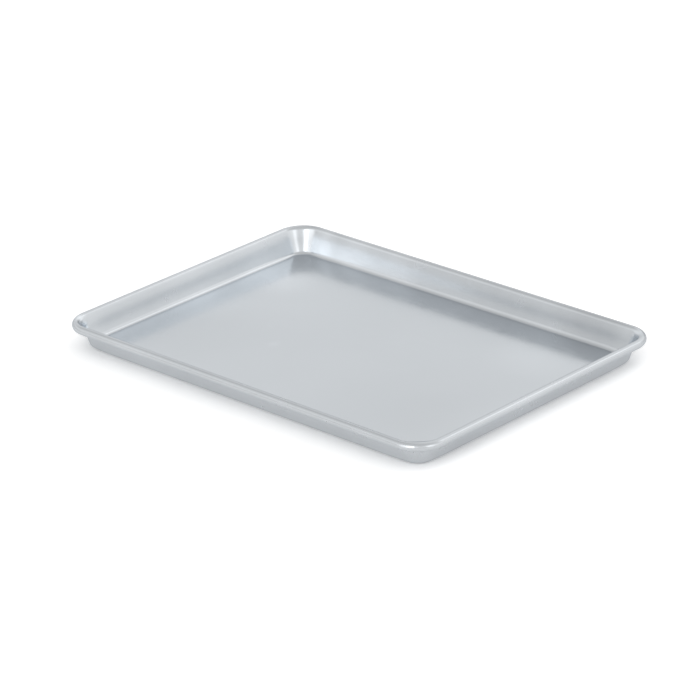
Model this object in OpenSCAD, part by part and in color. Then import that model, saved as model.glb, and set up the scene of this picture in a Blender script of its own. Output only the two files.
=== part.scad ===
// Jelly roll pan: a shallow oblong baking tray drawn from one aluminium sheet,
// its rim curled into a bead round a steel wire.
// Long side along X, short side along Y, up is +Z.
// The origin is at the middle of the underside, where the pan rests.

/* [Overall] */
// Length over the bead, along X
overall_length = 455; // [250:1:700]
// Width over the bead, along Y
overall_width = 330; // [180:1:500]
// Height from the underside to the top of the bead
overall_height = 26.4; // [20:0.1:45]
// Outer radius of the rim at each corner, seen from above
rim_corner_radius = 29.5; // [29:0.5:60]

/* [Sheet] */
// Thickness of the aluminium sheet
sheet_thickness = 1.0; // [0.6:0.1:1.4]
// Lean of the walls, outward from upright, in degrees
wall_lean = 17.5; // [5:0.5:22]
// Inside radius where the floor turns up into the walls
floor_fillet_radius = 5.25; // [2.5:0.25:6.5]

/* [Rim] */
// Diameter of the steel wire inside the bead
wire_diameter = 6.0; // [4.5:0.1:6.4]
// Clearance between the wire and the sheet curled round it
wire_clearance = 0.1; // [0.05:0.05:0.3]
// Gap between the two butted ends of the wire
wire_end_gap = 0.6; // [0.2:0.1:3]
// Gap between the curled edge of the sheet and the wall beside it
hem_gap = 0.3; // [0.1:0.1:0.5]

/* [Hidden] */
$fn = 96;
// Reach of a cutting wedge, well past any circle that it trims
wedge_reach = 2 * overall_height;
// How far the fillet dips below the floor's own faces, so that the two cross cleanly
fillet_dip = 0.01;

// The bead: sheet curled round the wire and its clearance
bead_bore_radius = wire_diameter / 2 + wire_clearance;
bead_radius = bead_bore_radius + sheet_thickness;
bead_centre_z = overall_height - bead_radius;

// The bead's centre follows a rectangle with round corners.
// Its straight stretches reach this far from the middle, and its bends have this radius.
bend_radius = rim_corner_radius - bead_radius;
straight_x = overall_length / 2 - rim_corner_radius;
straight_y = overall_width / 2 - rim_corner_radius;

// The wall's inner face touches the bead's circle above and the fillet's circle below.
// From the bead's centre to the fillet's centre is one step across the wall and one down it.
fillet_outer_radius = floor_fillet_radius + sheet_thickness;
step_across = bead_radius + floor_fillet_radius;
wall_length = (bead_centre_z - fillet_outer_radius + fillet_dip
    + step_across * sin(wall_lean)) / cos(wall_lean);
fillet_inset = step_across * cos(wall_lean) + wall_length * sin(wall_lean);

// The flat floor ends where the fillets begin
floor_corner_radius = bend_radius - fillet_inset;
floor_rim = 0.75 * floor_corner_radius;
// Where the floor's top face runs out inside the fillet
floor_toe = 2 * sqrt(2 * floor_fillet_radius * fillet_dip);

// The curl's edge stops short of the wall's outer face by the hem's gap
hem_open_angle = acos((bead_bore_radius - hem_gap) / bead_radius);

module wedge(from_angle, to_angle) {
    // A sector of less than half a turn, to cut circles with
    middle = (from_angle + to_angle) / 2;
    polygon([[0, 0],
        wedge_reach * [cos(from_angle), sin(from_angle)],
        2 * wedge_reach * [cos(middle), sin(middle)],
        wedge_reach * [cos(to_angle), sin(to_angle)]]);
}

module ring(inner, outer) {
    difference() {
        circle(r = outer);
        circle(r = inner);
    }
}

module wall_with_curl() {
    // The wall stood upright, with the bead's centre at the origin:
    // the curl above, open beside the wall, and the fillet's arc at the foot
    difference() {
        ring(bead_bore_radius, bead_radius);
        wedge(180, 180 + hem_open_angle);
    }
    translate([-bead_radius, -wall_length]) square([sheet_thickness, wall_length]);
    translate([-step_across, -wall_length])
        intersection() {
            ring(floor_fillet_radius, fillet_outer_radius);
            wedge(wall_lean - 90, 0);
        }
}

module edge_profile() {
    // One cut through the pan's edge, from a strip of floor to the bead.
    // X is measured outward from the bead's centre and Y is the height.
    translate([-fillet_inset, 0])
        polygon([[-floor_rim, 0],
            [floor_toe / 4, 0],
            [floor_toe, sheet_thickness],
            [-floor_rim, sheet_thickness]]);
    intersection() {
        translate([0, bead_centre_z]) rotate(-wall_lean) wall_with_curl();
        translate([-wedge_reach, 0]) square(2 * wedge_reach);
    }
}

module bent_profile() {
    // The same cut, placed for turning about the axis of a corner
    translate([bend_radius, 0]) edge_profile();
}

module four_quarters() {
    // The pan is the same in all four quarters
    for (side_x = [0, 1], side_y = [0, 1])
        mirror([side_x, 0, 0]) mirror([0, side_y, 0]) children();
}

module shell_quarter() {
    // Half a long side, one drawn corner and half a short side
    translate([0, straight_y, 0])
        rotate([90, 0, 90]) linear_extrude(straight_x) bent_profile();
    translate([straight_x, straight_y, 0]) {
        rotate_extrude(angle = 90) bent_profile();
        rotate([90, 0, 0]) linear_extrude(straight_y) bent_profile();
    }
}

module pan_shell() {
    color([0.78, 0.79, 0.81]) union() {
        four_quarters() shell_quarter();
        // The middle of the floor, ending within the strip that each edge carries
        linear_extrude(sheet_thickness)
            square([2 * straight_x + floor_corner_radius, 2 * straight_y + floor_corner_radius],
                center = true);
    }
}

module wire_run(length) {
    // A straight length of the wire from the origin along +X
    rotate([0, 90, 0]) cylinder(d = wire_diameter, h = length);
}

module wire_quarter(start) {
    // Half a long side, starting this far from its middle, one bend and half a short side
    translate([start, straight_y + bend_radius, 0]) wire_run(straight_x - start);
    translate([straight_x, straight_y, 0])
        rotate_extrude(angle = 90) translate([bend_radius, 0]) circle(d = wire_diameter);
    translate([straight_x + bend_radius, 0, 0]) rotate([0, 0, 90]) wire_run(straight_y);
}

module rim_wire() {
    // One length of round wire bent into a hoop, its ends butted at the back of the pan
    color([0.62, 0.63, 0.64]) translate([0, 0, bead_centre_z])
        for (side = [0, 1])
            mirror([side, 0, 0]) {
                wire_quarter(wire_end_gap / 2);
                mirror([0, 1, 0]) wire_quarter(0);
            }
}

pan_shell();
rim_wire();
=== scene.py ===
# %% [markdown]
# # A jelly roll pan
#
# The object is a shallow oblong baking tray, 455 mm long, 330 mm wide and 26 mm high. It is one
# sheet of aluminium, pressed into a tray, with its edge curled round a steel wire. In this lesson
# the sheet is built from a list of numbers, because a pressed tray is a very regular thing: one
# cross-section, carried once round a rectangle with round corners. A modelling tool could do the
# same by hand, but numbers give the curl and the wall their true sizes, and are easy to change.

import math

import bmesh
import bpy
import numpy as np
from mathutils import Matrix, Vector, noise


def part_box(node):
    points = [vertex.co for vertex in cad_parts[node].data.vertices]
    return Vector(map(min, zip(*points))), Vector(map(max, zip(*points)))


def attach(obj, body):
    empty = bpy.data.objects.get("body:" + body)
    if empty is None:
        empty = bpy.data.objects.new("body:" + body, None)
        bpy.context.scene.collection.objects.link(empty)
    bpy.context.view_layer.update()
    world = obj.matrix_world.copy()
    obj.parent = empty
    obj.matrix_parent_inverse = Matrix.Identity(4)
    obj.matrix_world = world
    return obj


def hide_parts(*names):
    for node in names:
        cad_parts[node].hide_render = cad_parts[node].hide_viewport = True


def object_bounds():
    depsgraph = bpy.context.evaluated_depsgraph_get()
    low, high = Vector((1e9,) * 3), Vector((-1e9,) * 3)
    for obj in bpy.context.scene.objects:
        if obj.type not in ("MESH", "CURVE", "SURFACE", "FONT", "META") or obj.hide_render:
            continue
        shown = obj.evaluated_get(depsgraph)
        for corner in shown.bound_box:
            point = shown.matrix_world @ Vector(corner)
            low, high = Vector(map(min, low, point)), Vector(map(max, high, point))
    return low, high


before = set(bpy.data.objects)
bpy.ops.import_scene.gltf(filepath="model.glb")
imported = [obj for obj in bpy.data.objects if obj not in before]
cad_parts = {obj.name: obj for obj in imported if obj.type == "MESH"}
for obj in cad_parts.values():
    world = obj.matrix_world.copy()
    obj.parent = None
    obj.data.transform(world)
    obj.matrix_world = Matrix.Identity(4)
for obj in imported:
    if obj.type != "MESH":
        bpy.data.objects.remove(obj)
cad_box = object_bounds()
cad_size_mm = [round(1000 * (high - low), 1) for low, high in zip(*cad_box)]
print("the packed model measures", cad_size_mm, "mm; its nodes are", sorted(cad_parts))

# %% [markdown]
# ## The camera
#
# A product photograph is usually taken from far away with a long lens, so that parallel edges
# stay nearly parallel. The direction of such a camera can be found from the photograph's own
# lines: the pan's four edges give its turn and its height above the table, and how much the edges
# converge gives the distance. The camera is also rolled a little, because the one that took the
# photograph was not quite level. Nothing here is animated, so a plain matrix places it.

# %% Place the camera
camera_turn = math.radians(43.493)      # how far round from the front, towards +X
camera_height = math.radians(23.502)    # above the table
camera_roll = math.radians(-1.897)
camera_distance = 3.388                 # metres from the point it aims at
aim_point = Vector((-0.00762, -0.00127, 0.001))
sensor_width = 36                       # millimetres
long_lens = 186.98                      # millimetres, on that sensor
straight_up = Vector((0, 0, 1))

towards_camera = Vector((
    math.sin(camera_turn) * math.cos(camera_height),
    -math.cos(camera_turn) * math.cos(camera_height),
    math.sin(camera_height),
))
level_right = (-towards_camera).cross(straight_up).normalized()
level_up = level_right.cross(-towards_camera)
rolled_right = level_right * math.cos(camera_roll) + level_up * math.sin(camera_roll)
rolled_up = level_up * math.cos(camera_roll) - level_right * math.sin(camera_roll)

camera = bpy.data.objects.new("camera", bpy.data.cameras.new("camera"))
bpy.context.scene.collection.objects.link(camera)
camera.data.sensor_width = sensor_width
camera.data.lens = long_lens
camera_place = Matrix.Translation(aim_point + towards_camera * camera_distance)
camera_axes = Matrix((rolled_right, rolled_up, towards_camera)).transposed()
camera.matrix_world = camera_place @ camera_axes.to_4x4()
bpy.context.scene.camera = camera
print("the camera stands at", [round(c, 3) for c in camera.matrix_world.translation], "m")

# %% [markdown]
# ## The sheet's own numbers
#
# The metal is one millimetre thick, so its cross-section has two faces that run side by side:
# one that holds the food and one that rests on the shelf. Both are made of the same few
# stretches. The floor turns up through a small fillet, the wall leans outward, and the curl
# goes over the top, out, down and back under. The sizes below are in millimetres, measured from
# the middle of the bead for distances across the edge, and from the table for heights.

# %% Sizes of the sheet
MM = 0.001
bend_axis_x = 198.0           # the corners are bent about four upright axes at these places
bend_axis_y = 135.5
bend_radius = 25.4            # from such an axis to the middle of the bead
sheet_thickness = 1.0
wall_lean = math.radians(17.5)
bead_radius = 4.1
bead_height = 22.29           # the middle of the bead, above the table
fillet_radius = 5.25          # on the side that holds the food
hem_opening = math.radians(46.9)

fillet_height = fillet_radius + sheet_thickness
step_across = bead_radius + fillet_radius
wall_rise = bead_height - fillet_height + step_across * math.sin(wall_lean)
wall_length = wall_rise / math.cos(wall_lean)
fillet_inset = step_across * math.cos(wall_lean) + wall_length * math.sin(wall_lean)
floor_corner_radius = bend_radius - fillet_inset
print("the wall is", round(wall_length, 2), "mm long; the floor's corners have a radius of",
      round(floor_corner_radius, 2), "mm")

# %% [markdown]
# ## One face of the sheet
#
# Each face of the sheet is an arc, a straight wall and a larger arc. They are drawn with the wall
# upright, where they are simple, and then turned to the wall's lean about the bead's middle. It
# could be a curve with handles, but points at chosen places let smooth shading keep flat faces
# flat: close to the ends of each straight stretch there is an extra one. Each point also carries
# the zone of the pan that it belongs to, which the shaping and the finish use later.

# %% Draw both faces
FLOOR, FILLET, WALL, BEAD, INSIDE = 0.0, 0.25, 0.5, 1.0, 0.75
fillet_steps = 10
bead_steps = 48
inside_steps = 30
shares_of_wall = (0.02, 0.1, 0.2, 0.3, 0.4, 0.5, 0.6, 0.7, 0.8, 0.9, 0.98)


def turned_out(point, angle):
    """Turn a point of the upright wall to the wall's lean, about the bead's middle."""
    x, y = point
    return (x * math.cos(angle) + y * math.sin(angle), -x * math.sin(angle) + y * math.cos(angle))


def arc(centre, radius, start, end, count):
    """Points along an arc, both ends included, angles in degrees."""
    angles = [math.radians(start + (end - start) * i / count) for i in range(count + 1)]
    return [(centre[0] + radius * math.cos(a), centre[1] + radius * math.sin(a)) for a in angles]


def spaced(start, end, shares):
    """Points at the given shares of the way along a straight stretch."""
    (x, y), (last_x, last_y) = start, end
    return [(x + (last_x - x) * s, y + (last_y - y) * s) for s in shares]


def one_face(radius_at_fillet, radius_at_bead, steps_on_bead, zone_on_bead):
    """One face of the sheet, from the floor's edge to the hem, with its zone at each point."""
    lean, opening = math.degrees(wall_lean), math.degrees(hem_opening)
    from_floor = arc((-step_across, -wall_length), radius_at_fillet, lean - 90, 0, fillet_steps)
    up_wall = spaced(from_floor[-1], (-radius_at_bead, 0), shares_of_wall)
    over = arc((0, 0), radius_at_bead, 180, opening - 180, steps_on_bead)
    zones = [FILLET] * len(from_floor) + [WALL] * len(up_wall) + [zone_on_bead] * len(over)
    return [(*turned_out(p, wall_lean), zone)
            for p, zone in zip(from_floor + up_wall + over, zones)]


food_side = one_face(fillet_radius, bead_radius, bead_steps, BEAD)
under_side = one_face(fillet_radius + sheet_thickness, bead_radius - sheet_thickness,
                      inside_steps, INSIDE)
print("the food side has", len(food_side), "points and the underside", len(under_side))

# %% [markdown]
# ## The whole cross-section
#
# The cut edge of the sheet, the hem, is a little rounded on a real pan, so that it does not
# scratch. Here two extra points round it. With a strip of floor at each end the list of points
# now goes out along the food side, round the curl to the hem, back through the inside of the
# curl and home along the underside. One list for both faces makes a closed skin later on.

# %% Close the cross-section
hem_rounding = 0.25           # how far in from each edge of the hem, as a share of its width
shares_of_floor = (0.0, 0.3, 0.6, 0.85, 0.97)


def part_way(start, end):
    """The point of the hem's rounding between one edge and the other."""
    return [(1 - hem_rounding) * a + hem_rounding * b for a, b in zip(start[:2], end[:2])]


def floor_line(level):
    """A strip of floor at one level, from the corner's axis outward."""
    return [(-bend_radius + floor_corner_radius * s, level, FLOOR) for s in shares_of_floor]


hem_round = [(*part_way(a, b), INSIDE)
             for a, b in ((food_side[-1], under_side[-1]), (under_side[-1], food_side[-1]))]
top_of_floor = floor_line(sheet_thickness)
section = (
    top_of_floor
    + [(x, y + bead_height, zone) for x, y, zone in food_side + hem_round + under_side[::-1]]
    + floor_line(0.0)[::-1]
)
section_x, section_z, section_zone = np.array(section).T
print("the cross-section has", len(section), "points, from", round(section_z.min(), 3), "to",
      round(section_z.max(), 3), "mm high")

# %% [markdown]
# ## Round the rectangle
#
# The section is now set down at many stations along the four sides and through the four corners.
# A station is a point and an outward direction. Along a side the point moves and the direction
# stays; in a corner the point stays and the direction turns. The floor inside the four axes is a
# plain grid, and its rows meet the stations, so nearly all faces of the sheet have four sides.

# %% Set out the stations
corner_steps = 36
along_steps = 66
across_steps = 46


def stations():
    """Point, outward direction in degrees, share of a corner's turn, and which corner."""
    sides = (
        ((bend_axis_x, -bend_axis_y), (bend_axis_x, bend_axis_y), 0, across_steps),
        ((bend_axis_x, bend_axis_y), (-bend_axis_x, bend_axis_y), 90, along_steps),
        ((-bend_axis_x, bend_axis_y), (-bend_axis_x, -bend_axis_y), 180, across_steps),
        ((-bend_axis_x, -bend_axis_y), (bend_axis_x, -bend_axis_y), 270, along_steps),
    )
    found = []
    for which, (start, end, angle, steps) in enumerate(sides):
        for i in range(steps):
            s = i / steps
            x, y = (a + (b - a) * s for a, b in zip(start, end))
            found.append((x, y, angle, 0.0, which))
        for i in range(corner_steps):
            found.append((*end, angle + 90 * i / corner_steps, i / corner_steps, which))
    return np.array(found)


station = stations()
corner_turn, corner = station[:, 3], station[:, 4].astype(int)
directions = np.radians(station[:, 2])
outward = np.stack([np.cos(directions), np.sin(directions)], 1)
print("the section stands at", len(station), "stations round the pan")

# %% [markdown]
# ## Where the walls stand in
#
# A perfect sweep looks like plastic. Where a real wall goes round a corner, the press squeezes
# the sheet, and the wall's foot ends up a little further in, over a few tens of millimetres of
# the rim. No two corners do so by quite the same amount. It could be pushed in by hand in sculpt
# mode. A formula that fades with the distance along the rim is smoother, and can be measured.

# %% Find how far each station stands in
# For the right, back, left and front corner as the photograph shows them, in millimetres:
wall_stands_in_by = np.array((2.1, 1.6, 2.2, 1.6))
wall_bends_over = np.array((45.0, 80.0, 45.0, 45.0))   # along the rim, from the corner's middle

rim = station[:, :2] + bend_radius * outward
rim_steps = np.linalg.norm(np.roll(rim, -1, 0) - rim, axis=1)
along_rim = np.cumsum(rim_steps) - rim_steps
rim_length = rim_steps.sum()
stands_in = np.zeros(len(station))
for which, (amount, bends_over) in enumerate(zip(wall_stands_in_by, wall_bends_over)):
    middle = along_rim[(corner == which) & (corner_turn == 0.5)][0]
    away = np.abs(along_rim - middle)
    away = np.minimum(away, rim_length - away)
    near = np.clip(1 - away / bends_over, 0, 1)
    stands_in += amount * near * near * (3 - 2 * near)
stands_in = stands_in[:, None]
print("the wall's foot stands in by up to", round(stands_in.max(), 2), "mm")

# %% [markdown]
# ## Fuller corners
#
# In a corner the bead also grows fuller towards the food, and its shoulder reaches further down
# the wall. So on the food side the shoulder is a quarter of an ellipse, wider and deeper in the
# corners. It ends where it is as steep as the wall, and the wall then goes straight on to its
# foot. Where it ends depends on the wall's lean, and the lean on where it ends, so the two are
# worked out in turn until they settle.

# %% Find the shoulder of every station
bead_fuller_by = np.array((2.4, 1.0, 2.4, 4.0))        # the same four corners, millimetres
shoulder_deeper_by = np.array((6.0, 2.0, 9.0, 0.0))
rounds_to_settle = 6

in_corner = np.sin(np.pi * corner_turn) ** 2
wide = bead_radius + (bead_fuller_by[corner] * in_corner)[:, None]
deep = bead_radius + (shoulder_deeper_by[corner] * in_corner)[:, None]
bead_top = bead_height + bead_radius
foot = len(top_of_floor) + fillet_steps
foot_x, foot_z = section_x[foot] - stands_in, section_z[foot]
corner_lean = np.full_like(wide, wall_lean)
for _ in range(rounds_to_settle):
    ends_at = np.arctan2(wide / deep, np.tan(corner_lean))
    end_x, end_z = -wide * np.sin(ends_at), bead_top - deep + deep * np.cos(ends_at)
    corner_lean = np.arctan2(end_x - foot_x, end_z - foot_z)
print("at the fullest corner the bead is", round(bead_radius + wide.max(), 1),
      "mm wide, and the wall that leans most stands", round(math.degrees(corner_lean.max()), 1),
      "degrees from upright")

# %% [markdown]
# ## Move the points
#
# The food side's shoulder and wall now get their new places, and the outer half of the bead stays
# where it is, so that the pan keeps its size. The underside stands in with the wall's foot by a
# simple share. That is quick but not exact: it does not follow the shoulder, so in the corners
# the sheet is not evenly thick, and near the bead its two faces come together and partly cross.
# A truer way would set the underside one thickness behind the food side at every station.

# %% Shape the section at every station
on_food_side = np.arange(len(section_x)) < len(top_of_floor) + len(food_side)
on_bead = on_food_side & (section_zone == BEAD)
on_shoulder = on_bead & (section_x < 0) & (section_z > bead_height)
on_food_wall = on_food_side & (section_zone == WALL)

from_top = np.arctan2(-section_x, section_z - bead_height)[None, :]
over_shoulder = from_top * ends_at / (np.pi / 2 - wall_lean)
shoulder_x = -wide * np.sin(over_shoulder)
shoulder_z = bead_top - deep + deep * np.cos(over_shoulder)
straight_end_z = bead_height + bead_radius * math.sin(wall_lean)
up_the_wall = np.clip((section_z - foot_z) / (straight_end_z - foot_z), 0, 1)[None, :]
wall_x = foot_x + (end_x - foot_x) * up_the_wall
wall_z = foot_z + (end_z - foot_z) * up_the_wall

floor_share = np.clip((section_x + bend_radius) / floor_corner_radius, 0, 1)[None, :] ** 2
outer_share = np.clip(-section_x / bead_radius, 0, 1)[None, :]
moved_in = stands_in * np.where(section_x < -fillet_inset, floor_share, outer_share)
moved_in = np.where(on_bead, 0, moved_in)
across = np.where(on_food_wall, wall_x, section_x - moved_in)
across = np.where(on_shoulder, shoulder_x, across)
upward = np.where(on_food_wall, wall_z, section_z[None, :])
upward = np.where(on_shoulder, shoulder_z, upward)
print("the points move by up to", round(np.abs(across - section_x).max(), 2), "mm across and",
      round(np.abs(upward - section_z).max(), 2), "mm down")

# %% [markdown]
# ## Let the walls wander
#
# Rolled and pressed metal is never quite straight. The walls bow by a tenth of a millimetre from
# foot to bead and wander by less than that along the rim. Nobody sees this directly, but it bends
# every reflection. A displacement modifier could do it. Here it is added to the numbers. The
# wander only ever goes inward, and the bow keeps away from the rim, so that the sheet stays
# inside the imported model's size.

# %% Bow the walls and let them wander
wall_wander = 0.05            # millimetres
wall_bow = 0.12               # millimetres out near the foot, and as much in near the bead
wander_size = 0.045           # metres from one gentle bulge to the next
wander_up_the_wall = 0.06     # how much the bulges change with each millimetre of height


def slow_noise(x, y, size, seed):
    """Smooth bumps of about the given size in metres, between -1 and 1."""
    return noise.noise(Vector((x / size, y / size, seed)))


wander = np.array([
    [1 + slow_noise(x, y, wander_size, wander_up_the_wall * z) for z in section_z]
    for x, y in rim * MM
])
bow = wall_bow * np.sin(2 * np.pi * up_the_wall) * (section_zone == WALL)
out_to = (bend_radius + across + bow - wall_wander * wander * (section_zone > FLOOR)) * MM
place = station[:, None, :2] * MM + out_to[:, :, None] * outward[:, None, :]
sheet_points = np.concatenate([place, upward[:, :, None] * MM], 2)
print("the walls wander by up to", round(wall_wander * wander.max(), 3), "mm")

# %% [markdown]
# ## Join it into one skin
#
# The stations and the section make a net of points. Neighbouring points become four-sided faces,
# and the floor's grid closes the middle above and below. A bevelled curve or the Screw modifier
# could sweep a section, too, but they would turn it the same way in every corner, while here each
# station has its own shape. Each point remembers its zone of the pan, so that the finish can
# differ from floor to bead.

# %% Lay the net of points and faces
def faces_round(count, width):
    """Faces between each station and the next, all the way round."""
    faces = []
    for i in range(count):
        here, there = i * width, (i + 1) % count * width
        faces += [(here + k, there + k, there + k + 1, here + k + 1) for k in range(width - 1)]
    return faces


def faces_of_grid(first):
    """Faces of the floor's grid, whose points start at this number."""
    faces = []
    row = along_steps + 1
    for j in range(across_steps):
        here, there = first + j * row, first + (j + 1) * row
        faces += [(here + i, here + i + 1, there + i + 1, there + i) for i in range(along_steps)]
    return faces


def build_sheet():
    count, width = sheet_points.shape[:2]
    points = [tuple(p) for p in sheet_points.reshape(-1, 3)]
    zones = list(np.broadcast_to(section_zone, (count, width)).reshape(-1))
    faces = faces_round(count, width)
    for level in (sheet_thickness * MM, 0.0):
        faces += faces_of_grid(len(points))
        for j in range(across_steps + 1):
            for i in range(along_steps + 1):
                points.append((
                    bend_axis_x * MM * (2 * i / along_steps - 1),
                    bend_axis_y * MM * (2 * j / across_steps - 1),
                    level,
                ))
                zones.append(FLOOR)
    mesh = bpy.data.meshes.new("pan_sheet")
    mesh.from_pydata(points, [], faces)
    zone_of_point = mesh.attributes.new("zone", "FLOAT", "POINT")
    zone_of_point.data.foreach_set("value", np.array(zones, np.float32))
    return mesh


sheet_mesh = build_sheet()
print("the net has", len(sheet_mesh.vertices), "points and", len(sheet_mesh.polygons), "faces")

# %% [markdown]
# ## Weld and wave
#
# Points that fall on the same place are welded, so that the skin has no open edge, and all faces
# turn their outside outward and shade smoothly. Then the floor gets its slow waves of about two
# tenths of a millimetre, which a real floor has from the press and from heat. A displacement
# texture could make them. Moving both faces by the same formula keeps the floor's thickness.

# %% Weld the sheet and wave its floor
weld_gap = 0.004 * MM
floor_lies_below = 1.5 * MM       # every point under this height belongs to the floor
floor_wave = 0.22 * MM            # height of the slow waves
wave_lift = 0.9                   # keeps them above flat
broad_wave = (0.6, 0.16, 3.1)     # share, size in metres and seed
fine_wave = (0.4, 0.07, 8.4)
wave_ends = (0.208, 0.145)        # metres from the middle, along and across
wave_fades_over = 0.06            # metres


def weld_and_smooth(mesh, gap):
    work = bmesh.new()
    work.from_mesh(mesh)
    bmesh.ops.remove_doubles(work, verts=work.verts, dist=gap)
    bmesh.ops.dissolve_degenerate(work, dist=gap, edges=work.edges)
    bmesh.ops.recalc_face_normals(work, faces=work.faces)
    open_edges = sum(1 for e in work.edges if len(e.link_faces) != 2)
    for face in work.faces:
        face.smooth = True
    work.to_mesh(mesh)
    work.free()
    return open_edges


def floor_height(x, y):
    """How far the floor stands above flat at one place."""
    wave = sum(share * slow_noise(x, y, size, seed)
               for share, size, seed in (broad_wave, fine_wave))
    edge = min(1.0, *((end - abs(c)) / wave_fades_over for c, end in zip((x, y), wave_ends)))
    edge = max(0.0, edge)
    return floor_wave * (wave_lift + wave) * edge ** 2 * (3 - 2 * edge)


open_edges = weld_and_smooth(sheet_mesh, weld_gap)
for v in sheet_mesh.vertices:
    if v.co.z < floor_lies_below:
        v.co.z += floor_height(v.co.x, v.co.y)
sheet = bpy.data.objects.new("pan_sheet", sheet_mesh)
bpy.context.scene.collection.objects.link(sheet)
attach(sheet, "root")
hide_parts("pan_shell")
print("the sheet has", len(sheet_mesh.polygons), "faces and", open_edges, "open edges")

# %% [markdown]
# ## Satin aluminium
#
# Aluminium has almost no colour of its own: what we see is the room in it, softened by millions
# of fine scratches. It could be a grey plastic-like paint, but only a metal mirrors the studio as
# the real one does. So the finish is a metal whose colour is the brightness that the bare sheet
# shows in soft light, with a trace of blue.

# %% Start the aluminium
bare_colour = (0.655, 0.682, 0.708)
edge_tint = (0.8, 0.82, 0.84, 1)


def new_material(name):
    material = bpy.data.materials.new(name)
    material.use_nodes = True
    return material, material.node_tree, material.node_tree.nodes["Principled BSDF"]


def add(tree, kind, **settings):
    """Add a node and set its properties, or its inputs by name."""
    node = tree.nodes.new(kind)
    for key, value in settings.items():
        if hasattr(node, key):
            setattr(node, key, value)
        else:
            node.inputs[key.replace("_", " ")].default_value = value
    return node


aluminium, metal, metal_shader = new_material("satin_aluminium")
metal_shader.inputs["Metallic"].default_value = 1.0
metal_shader.inputs["Specular Tint"].default_value = edge_tint
sheet_mesh.materials.append(aluminium)
print("the aluminium reads", round(sum(bare_colour) / 3, 3), "in soft white light")

# %% [markdown]
# ## Clouds, grain and upright marks
#
# Washing leaves faint clouds and smudges everywhere. The rolled floor has a long grain, and the
# drawn walls have upright marks. Pictures of scratched metal could be laid on, but they need
# unwrapping and show where they repeat. Noise in the object's own coordinates sticks to the metal
# from every side. Stretched along one axis, the same noise becomes grain.

# %% Make the patterns of the metal
def stretched_noise(tree, coordinates, stretch, scale, detail=2.0, roughness=0.5):
    """Noise whose bumps are longer along some axes: a small stretch makes them long."""
    mapping = add(tree, "ShaderNodeMapping", Scale=stretch)
    tree.links.new(coordinates, mapping.inputs["Vector"])
    texture = add(tree, "ShaderNodeTexNoise", Scale=scale, Detail=detail, Roughness=roughness)
    tree.links.new(mapping.outputs["Vector"], texture.inputs["Vector"])
    return texture.outputs["Fac"]


def ramp(tree, value, low, high, to_low, to_high, **settings):
    """Stretch a value from one range to another, and keep it there."""
    node = add(tree, "ShaderNodeMapRange", **settings)
    tree.links.new(value, node.inputs["Value"])
    numbers = {"From Min": low, "From Max": high, "To Min": to_low, "To Max": to_high}
    for name, number in numbers.items():
        node.inputs[name].default_value = number
    return node.outputs["Result"]


in_metal = add(metal, "ShaderNodeTexCoord").outputs["Object"]
clouds = stretched_noise(metal, in_metal, (1, 1, 1), scale=14, detail=3.0)
smudges = stretched_noise(metal, in_metal, (1, 1, 1), scale=60, roughness=0.6)
grain = stretched_noise(metal, in_metal, (0.03, 1, 1), scale=260, detail=1.0)
marks = stretched_noise(metal, in_metal, (1, 1, 0.08), scale=110, detail=1.0)

zone = add(metal, "ShaderNodeAttribute", attribute_name="zone").outputs["Fac"]
on_wall = ramp(metal, zone, FLOOR, WALL, 0.0, 1.0)
grain_or_marks = add(metal, "ShaderNodeMix")
for name, source in (("Factor", on_wall), ("A", grain), ("B", marks)):
    metal.links.new(source, grain_or_marks.inputs[name])
lines = grain_or_marks.outputs["Result"]
print("the metal has", sum(n.type == "TEX_NOISE" for n in metal.nodes), "patterns of noise")

# %% [markdown]
# ## Lighter and darker metal
#
# The patterns change the metal's brightness by about one part in a hundred, which is all that a
# clean pan shows. More would look like dirt. They are added up with math nodes, because each
# stays a number that can be turned up or down by itself.

# %% Add up the patterns
soft_range = (0.3, 0.7)       # where the noise of clouds and smudges mostly lies
line_range = (0.25, 0.75)     # and that of the grain and the marks
cloud_brightness = (0.985, 1.01)
smudge_change = 0.008
line_change = 0.006


def calculate(tree, operation, a, b):
    node = add(tree, "ShaderNodeMath", operation=operation)
    for socket, value in zip(node.inputs, (a, b)):
        if isinstance(value, (int, float)):
            socket.default_value = value
        else:
            tree.links.new(value, socket)
    return node.outputs[0]


brightness = calculate(metal, "ADD", ramp(metal, clouds, *soft_range, *cloud_brightness),
                       ramp(metal, smudges, *soft_range, -smudge_change, smudge_change))
brightness = calculate(metal, "ADD", brightness,
                       ramp(metal, lines, *line_range, -line_change, line_change))
print("clouds, smudges and lines change the metal by up to",
      round(max(cloud_brightness) - 1 + smudge_change + line_change, 3), "upward")
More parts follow.
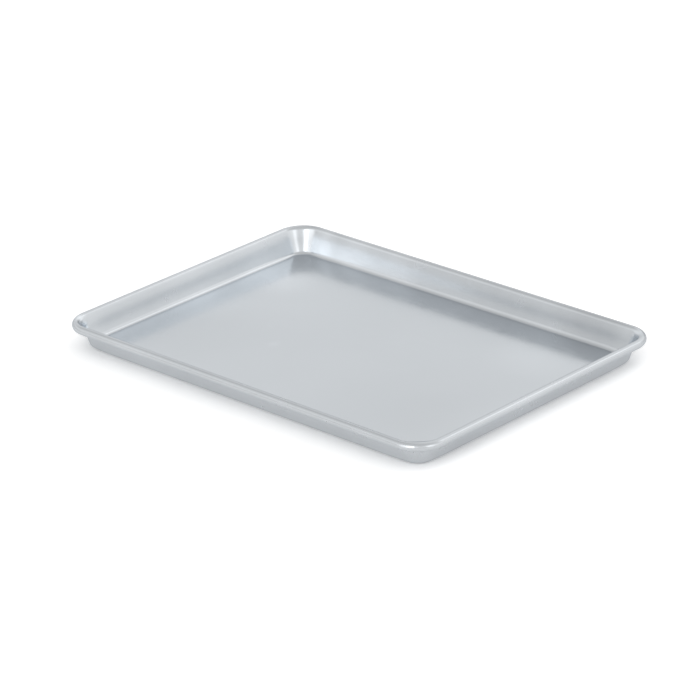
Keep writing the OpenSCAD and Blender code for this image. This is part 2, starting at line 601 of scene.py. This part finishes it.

# %% [markdown]
# ## Painted light and shade, and a few drops
#
# In some places the pan's reflections are lighter or darker than the lamps and the room make them.
# On a real pan shallow dents bend the reflections there, and they could be modelled. Here the
# light and shade is painted into the metal's colour instead: a painted reflection on the floor by
# the far corner, lighter and darker stretches of floor and wall, painted highlights on the far
# wall and painted light over dark reflections in two corners. Two dried drops are the metal's own
# marks.
# Each is a soft circle with a place, a reach and a share of light, because that takes one line and
# is easy to move.

# %% Put the painted light, shade and drops where they belong
painted_light_shade_and_drops = (                      # x, y and reach in metres, and the change of brightness
    (-0.176, 0.086, 0.055, 0.105),    # painted reflection of the far corner's highlight on the floor
    (-0.155, 0.141, 0.035, 0.07),
    (-0.195, 0.090, 0.05, 0.05),
    (-0.200, 0.0, 0.06, 0.06),        # painted light along the left end
    (-0.145, 0.065, 0.11, 0.035),
    (0.13, -0.07, 0.14, -0.045),      # painted shade towards the near corner
    (-0.16, -0.07, 0.10, -0.03),
    (0.14, 0.10, 0.07, 0.065),
    (0.155, 0.156, 0.06, -0.11),      # painted shade along the right end
    (0.05, 0.158, 0.06, -0.03),
    (-0.13, -0.165, 0.06, 0.05),      # painted light on the near long side
    (0.225, -0.03, 0.08, 0.035),      # and the near short side
    (-0.073, -0.036, 0.009, 0.035),   # dried drops
    (-0.107, -0.005, 0.008, 0.015),
    (-0.2165, -0.146, 0.011, 0.35),   # painted light over dark reflections in the left and right corners
    (0.2095, 0.1515, 0.013, 0.2),
)
painted_highlights_on_far_wall = (                 # painted highlights on the far wall, kept off the floor
    (-0.184, 0.152, 0.018, 0.16),
    (-0.135, 0.132, 0.045, 0.29),
    (-0.090, 0.134, 0.042, 0.20),
)

seen_from_above = add(metal, "ShaderNodeMapping", Scale=(1, 1, 0))
metal.links.new(in_metal, seen_from_above.inputs["Vector"])


def soft_circle(x, y, reach, change):
    """A change of brightness that is full at one place and fades to nothing at its reach."""
    away = add(metal, "ShaderNodeVectorMath", operation="DISTANCE")
    metal.links.new(seen_from_above.outputs["Vector"], away.inputs[0])
    away.inputs[1].default_value = (x, y, 0)
    return ramp(metal, away.outputs["Value"], 0.0, reach, change, 0.0,
                interpolation_type="SMOOTHSTEP")


# Each spot paints light or shade into the metal's colour; only the two dried drops are the metal's
# own.
for mark in painted_light_shade_and_drops:
    brightness = calculate(metal, "ADD", brightness, soft_circle(*mark))
# The far wall gets painted highlights in its colour, kept off the floor.
for mark in painted_highlights_on_far_wall:
    on_wall_only = calculate(metal, "MULTIPLY", on_wall, soft_circle(*mark))
    brightness = calculate(metal, "ADD", brightness, on_wall_only)
print("the pan has", len(painted_light_shade_and_drops) + len(painted_highlights_on_far_wall), "soft spots of painted light and shade, and drops")

# %% [markdown]
# ## Satin, not mirror
#
# How satin a metal looks is its roughness. The floor is the smoothest, the drawn walls and the
# bead are a little rougher, and clouds, smudges and lines vary it. The lines also get a relief of
# a hundredth of a millimetre. Real scratches could be cut into the mesh, but they are far finer
# than its faces, so a bump node does it.

# %% Finish the aluminium
cloud_roughness = (0.165, 0.2)
rough_smudge_range = (0.35, 0.7)
smudge_roughness = (-0.015, 0.03)
wall_roughness = 0.06             # added on the walls and the bead
line_roughness = 0.012
line_relief = 0.00001             # metres
line_relief_strength = 0.2


def paint(tree, shader, colour, tone):
    """Give a shader one colour, made lighter or darker by a tone."""
    scaled = add(tree, "ShaderNodeVectorMath", operation="SCALE")
    scaled.inputs[0].default_value = colour
    tree.links.new(tone, scaled.inputs["Scale"])
    tree.links.new(scaled.outputs[0], shader.inputs["Base Color"])


paint(metal, metal_shader, bare_colour, brightness)
roughness = calculate(metal, "ADD", ramp(metal, clouds, *soft_range, *cloud_roughness),
                      ramp(metal, smudges, *rough_smudge_range, *smudge_roughness))
roughness = calculate(metal, "ADD", roughness,
                      calculate(metal, "MULTIPLY", on_wall, wall_roughness))
roughness = calculate(metal, "ADD", roughness,
                      ramp(metal, lines, *line_range, -line_roughness, line_roughness))
metal.links.new(roughness, metal_shader.inputs["Roughness"])

relief = add(metal, "ShaderNodeBump", Distance=line_relief, Strength=line_relief_strength)
metal.links.new(lines, relief.inputs["Height"])
metal.links.new(relief.outputs["Normal"], metal_shader.inputs["Normal"])
print("the aluminium is finished with", len(metal.nodes), "nodes")

# %% [markdown]
# ## The wire in the bead
#
# The rim is stiff because a steel wire runs inside it. Only a hairline of it can be seen, from
# below, through the gap where the curl stops short of the wall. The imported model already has
# its true shape, so it keeps that and only gets a finish: zinc, which is duller and greyer than
# aluminium and breaks up into crystals a few millimetres across.

# %% Galvanise the wire
zinc_colour = (0.47, 0.48, 0.49)
zinc_tone = (0.9, 1.1)
zinc_roughness = (0.34, 0.5)
crystals_per_metre = 300

zinc, coat, coat_shader = new_material("galvanised_steel")
crystals = add(coat, "ShaderNodeTexVoronoi", Scale=crystals_per_metre)
coat.links.new(add(coat, "ShaderNodeTexCoord").outputs["Object"], crystals.inputs["Vector"])
crystal_tone = add(coat, "ShaderNodeRGBToBW")
coat.links.new(crystals.outputs["Color"], crystal_tone.inputs["Color"])
crystal_tone = crystal_tone.outputs["Val"]
paint(coat, coat_shader, zinc_colour, ramp(coat, crystal_tone, 0, 1, *zinc_tone))
coat.links.new(ramp(coat, crystal_tone, 0, 1, *zinc_roughness), coat_shader.inputs["Roughness"])
coat_shader.inputs["Metallic"].default_value = 1.0

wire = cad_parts["rim_wire"]
wire.data.materials.clear()
wire.data.materials.append(zinc)
wire_low, wire_high = ([round(c, 4) for c in end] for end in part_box("rim_wire"))
print("the wire keeps its packed shape, between", wire_low, "and", wire_high)

# %% [markdown]
# ## The table
#
# The pan stands on plain paper, on a table without an edge in sight. A curved backdrop is what a
# studio would use. Here the room behind is plain white anyway, so one flat face is enough.

# %% Lay the table
table_half_width = 6          # metres

table_corners = [(table_half_width * x, table_half_width * y, 0)
                 for x, y in ((-1, -1), (1, -1), (1, 1), (-1, 1))]
table_mesh = bpy.data.meshes.new("table")
table_mesh.from_pydata(table_corners, [], [(0, 1, 2, 3)])
table = bpy.data.objects.new("table", table_mesh)
bpy.context.scene.collection.objects.link(table)
print("the table is", 2 * table_half_width, "metres wide")

# %% [markdown]
# ## White paper
#
# The photograph shows the paper as pure white. Brighter lamps would whiten it, but would also
# wash out the metal. So the paper keeps its own shade for the pan, and only the camera gets more
# of its light, most at the right, where the photograph's shadow is lightest. The shadow stays,
# and it is deepened in the crease under the pan. In the metal the paper is partly seen as if it
# had no shadow, which keeps the outer walls pale.

# %% Make the paper
table_shade = 0.9             # the paper itself
table_more_for_camera = 0.44  # how much more of its light the camera gets, which takes it to white
table_more_at_right = 0.6     # the same at the right
right_starts, right_full = 0.19, 0.25   # metres along the table
crease_reach = 0.012          # metres: how near the pan has to be to deepen its shadow
crease_samples = 8
crease_shade = 0.72           # how much of the paper's light is left in the crease itself
shadow_left_out = 0.42        # in the metal, this share of the table is seen without the shadow
table_in_metal = 1.04         # and that bright

paper = bpy.data.materials.new("white_paper")
paper.use_nodes = True
table_mesh.materials.append(paper)
tree = paper.node_tree
tree.nodes.clear()
seen_by = add(tree, "ShaderNodeLightPath")
crease = add(tree, "ShaderNodeAmbientOcclusion", samples=crease_samples,
             Distance=crease_reach)
in_crease = ramp(tree, crease.outputs["AO"], 0.0, 1.0, crease_shade, 1.0)
plain = add(tree, "ShaderNodeBsdfDiffuse")
tree.links.new(calculate(tree, "MULTIPLY", in_crease, table_shade), plain.inputs["Color"])
more = add(tree, "ShaderNodeBsdfDiffuse")
place_on_table = add(tree, "ShaderNodeSeparateXYZ")
tree.links.new(add(tree, "ShaderNodeTexCoord").outputs["Object"], place_on_table.inputs[0])
table_more = ramp(tree, place_on_table.outputs["X"], right_starts, right_full,
                  table_more_for_camera, table_more_at_right)
more_here = calculate(tree, "MULTIPLY", seen_by.outputs["Is Camera Ray"], table_more)
tree.links.new(calculate(tree, "MULTIPLY", in_crease, more_here), more.inputs["Color"])
lit = add(tree, "ShaderNodeAddShader")
tree.links.new(plain.outputs[0], lit.inputs[0])
tree.links.new(more.outputs[0], lit.inputs[1])
even = add(tree, "ShaderNodeEmission", Color=(1, 1, 1, 1), Strength=table_in_metal)
mixed = add(tree, "ShaderNodeMixShader")
unshaded = calculate(tree, "MULTIPLY", seen_by.outputs["Is Glossy Ray"], shadow_left_out)
for socket, source in zip(mixed.inputs, (unshaded, lit.outputs[0], even.outputs[0])):
    tree.links.new(source, socket)
tree.links.new(mixed.outputs[0], add(tree, "ShaderNodeOutputMaterial").inputs["Surface"])
print("the table's paper is", table_shade, "bright, and",
      round(table_shade + table_more_for_camera, 2), "for the camera")

# %% [markdown]
# ## Soft light from all round
#
# Metal shows whatever is round it, so the studio is part of the finish. The room is brightest
# a third of the way up and dimmer near the horizon and overhead. It could be built as real walls,
# but a room that is only ever seen in soft reflections is drawn more simply by direction: first
# a level for each height, and then a few broad round patches that are brighter or dimmer.

# %% Draw the room by height
levels = (                    # how high a direction points, from -1 to 1, and how bright it is
    (-1.0, 0.72), (0.0, 0.72), (0.16, 0.78), (0.36, 0.96),
    (0.5, 0.94), (0.72, 0.78), (0.85, 0.72), (1.0, 0.7),
)

world = bpy.data.worlds.new("studio")
bpy.context.scene.world = world
world.use_nodes = True
room = world.node_tree
room.nodes.clear()
looking = add(room, "ShaderNodeTexCoord").outputs["Generated"]
parts = add(room, "ShaderNodeSeparateXYZ")
room.links.new(looking, parts.inputs[0])
by_height = add(room, "ShaderNodeValToRGB")
while len(by_height.color_ramp.elements) < len(levels):
    by_height.color_ramp.elements.new(0.5)
for element, (rise, level) in zip(by_height.color_ramp.elements, levels):
    element.position = 0.5 + rise / 2
    element.color = (level, level, level, 1)
halved = calculate(room, "MULTIPLY", parts.outputs["Z"], 0.5)
room.links.new(calculate(room, "ADD", halved, 0.5), by_height.inputs["Fac"])
print("the room is", min(level for _, level in levels), "to", max(level for _, level in levels),
      "bright")

# %% [markdown]
# ## Patches of light
#
# A real studio is not even. This one has a bright ceiling panel behind the pan, a dim end and a
# dim ceiling on the left, a pale wall on the right, and a glow round each softbox. Each is a
# round patch with a full core and a soft edge. They could be panels hung in the room, but a patch
# by direction is softer and never gets in the camera's way. The camera itself sees plain white.

# %% Hang the patches and open the room
def pointing(turn, rise):
    """A direction from the pan: turn in degrees from +Y towards +X, rise above the horizon."""
    turn, rise = math.radians(turn), math.radians(rise)
    return Vector((math.sin(turn) * math.cos(rise), math.cos(turn) * math.cos(rise),
                   math.sin(rise)))


def patch(turn, rise, core, reach, change):
    """A round soft patch of the room, in degrees, that is brighter or dimmer by this much."""
    towards = add(room, "ShaderNodeVectorMath", operation="DOT_PRODUCT")
    room.links.new(looking, towards.inputs[0])
    towards.inputs[1].default_value = pointing(turn, rise)
    edge, full = math.cos(math.radians(reach)), math.cos(math.radians(core))
    return ramp(room, towards.outputs["Value"], edge, full, 0.0, change,
                interpolation_type="SMOOTHSTEP")


patches = (                    # turn, rise, core and reach in degrees, and change of brightness
    (23, 43, 2, 14, 0.55),     # the ceiling panel behind the pan
    (352, 46, 8, 34, 0.14),    # and its soft surround
    (332, 0, 5, 22, -0.43),    # the dim far end of the room
    (288, 46, 8, 28, -0.12),   # and the dim ceiling beside it
    (52, 0, 8, 36, 0.19),      # a pale wall on the right
    (182, 22, 10, 32, 0.5),    # the wide glow round the left softbox
    (92, 22, 8, 26, 0.2),      # and round the right one
)
room_light = by_height.outputs["Color"]
for numbers in patches:
    room_light = calculate(room, "ADD", room_light, patch(*numbers))

sky = add(room, "ShaderNodeBackground", Color=(1, 1, 1, 1))
room.links.new(room_light, sky.inputs["Strength"])
white = add(room, "ShaderNodeBackground", Color=(1, 1, 1, 1), Strength=1.0)
choose = add(room, "ShaderNodeMixShader")
for_camera = add(room, "ShaderNodeLightPath").outputs["Is Camera Ray"]
for socket, source in zip(choose.inputs, (for_camera, sky.outputs[0], white.outputs[0])):
    room.links.new(source, socket)
room.links.new(choose.outputs[0], add(room, "ShaderNodeOutputWorld").inputs["Surface"])
print("the room has", len(patches), "soft patches")

# %% [markdown]
# ## Two softboxes beside the camera
#
# A photographer of metal puts a large soft lamp on each side of the camera. The folds of the far
# corner and the round front corner catch them as bright patches, with a darker gap between,
# where the camera itself stands. They are area lamps and not patches of the room, because these
# two do have to cast the pan's soft shadow.

# %% Set up the softboxes
def softbox(name, turn, rise, distance, width, tall, strength):
    """A lamp, width by tall metres, that looks at the pan; strength is how bright it looks."""
    lamp = bpy.data.objects.new(name, bpy.data.lights.new(name, "AREA"))
    bpy.context.scene.collection.objects.link(lamp)
    back = pointing(turn, rise)
    lamp.location = back * distance
    lamp.rotation_euler = back.to_track_quat("Z", "Y").to_euler()
    lamp.data.shape = "RECTANGLE"
    lamp.data.size = width
    lamp.data.size_y = tall
    lamp.data.energy = strength * math.pi * width * tall
    return lamp


left_softbox = softbox("left_softbox", turn=161, rise=25, distance=2.4,
                       width=0.9, tall=1.5, strength=1.15)
right_softbox = softbox("right_softbox", turn=99, rise=25, distance=2.4,
                        width=0.8, tall=1.5, strength=0.42)
print("the softboxes give", [round(lamp.data.energy, 2) for lamp in (left_softbox, right_softbox)],
      "watts")

# %% [markdown]
# ## Develop the picture plainly
#
# The picture uses Blender's Standard view, which shows colours as they are. The last line brings
# the scene up to date.

# %% Finish
bpy.context.scene.view_settings.view_transform = "Standard"
bpy.context.view_layer.update()
